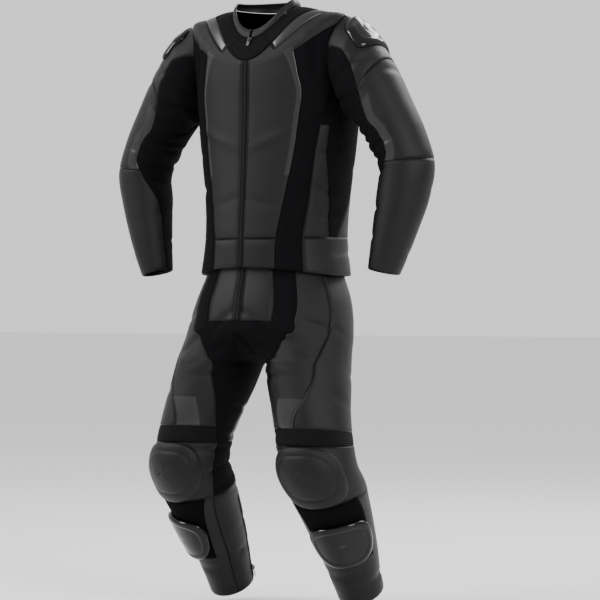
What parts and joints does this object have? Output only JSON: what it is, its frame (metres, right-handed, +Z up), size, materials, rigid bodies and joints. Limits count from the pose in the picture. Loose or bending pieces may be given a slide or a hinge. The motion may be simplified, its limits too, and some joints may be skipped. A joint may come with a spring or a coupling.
{
  "type": "two-piece motorcycle race suit, filled out with no wearer",
  "caption": "Two-piece leather motorcycle race suit standing hollow as worn, with bent arms and legs, knee cups, knee sliders and hinged zip pulls.",
  "frame": {"origin": "between the shoulders at the base of the neck, where the wearer's shoulders hold the suit", "axes": "+Z up, -Y out of the suit's front, +X to the wearer's left"},
  "size_m": [0.8494, 0.3622, 1.4105],
  "materials": {
    "leather": "matt grained black leather, perforated on the panels",
    "stretch_cloth": "matt black stretch weave",
    "gloss_leather": "smooth satin leather",
    "gloss_plastic": "polished moulded black plastic",
    "loop_tape": "black loop pile",
    "zip_tape": "black zip tape with moulded teeth",
    "zip_metal": "dark plated metal"
  },
  "bodies": {
    "suit": {"jacket_hem_band_front_left": "leather", "jacket_side_wedge_left": "leather", "jacket_and_sleeve_stretch_left": "stretch_cloth", "jacket_front_left": "leather", "jacket_hem_band_front_right": "leather", "jacket_side_wedge_right": "leather", "jacket_and_sleeve_stretch_right": "stretch_cloth", "jacket_front_right": "leather", "jacket_back": "leather", "jacket_hem_band_back": "leather", "jacket_yoke_strip": "gloss_leather", "jacket_yoke": "stretch_cloth", "jacket_front_zip": "zip_tape", "throat_flap": "stretch_cloth", "jacket_collar": "leather", "sleeve_shoulder_left": "leather", "sleeve_upper_arm_left": "leather", "sleeve_forearm_left": "leather", "shoulder_cup_left": "gloss_plastic", "sleeve_shoulder_right": "leather", "sleeve_upper_arm_right": "leather", "sleeve_forearm_right": "leather", "shoulder_cup_right": "gloss_plastic", "trousers_fly_zip": "zip_tape", "trousers_inner_stretch": "stretch_cloth", "trousers_back": "leather", "trousers_fly_left": "leather", "thigh_front_left": "leather", "thigh_outer_left": "leather", "knee_rib_band_left": "stretch_cloth", "knee_panel_left": "leather", "knee_back_stretch_left": "stretch_cloth", "shin_left": "leather", "calf_left": "leather", "ankle_zip_left": "zip_tape", "knee_cup_left": "leather", "loop_patch_left": "loop_tape", "knee_slider_left": "gloss_plastic", "trousers_fly_right": "leather", "thigh_front_right": "leather", "thigh_outer_right": "leather", "knee_rib_band_right": "stretch_cloth", "knee_panel_right": "leather", "knee_back_stretch_right": "stretch_cloth", "shin_right": "leather", "calf_right": "leather", "ankle_zip_right": "zip_tape", "knee_cup_right": "leather", "loop_patch_right": "loop_tape", "knee_slider_right": "gloss_plastic", "connection_zip": "zip_tape", "front_zip_slider": "zip_metal", "ankle_zip_left_slider": "zip_metal", "ankle_zip_right_slider": "zip_metal"},
    "front_zip_pull_tab_body": {"front_zip_pull_tab": "zip_metal"},
    "ankle_zip_left_pull_tab_body": {"ankle_zip_left_pull_tab": "zip_metal"},
    "ankle_zip_right_pull_tab_body": {"ankle_zip_right_pull_tab": "zip_metal"}
  },
  "joints": [
    {"name": "front_zip_pull_tab_swing", "type": "hinge", "parent": "suit", "child": "front_zip_pull_tab_body", "pos_m": [0, -0.121, -0.04464], "axis": [-1, 0, 0], "range_deg": [0, 110]},
    {"name": "ankle_zip_left_pull_tab_swing", "type": "hinge", "parent": "suit", "child": "ankle_zip_left_pull_tab_body", "pos_m": [0.12484, 0.09102, -1.28746], "axis": [0.476, 0.7674, 0.4295], "range_deg": [0, 110]},
    {"name": "ankle_zip_right_pull_tab_swing", "type": "hinge", "parent": "suit", "child": "ankle_zip_right_pull_tab_body", "pos_m": [-0.12484, 0.09102, -1.28746], "axis": [0.476, -0.7674, -0.4295], "range_deg": [0, 110]}
  ]
}
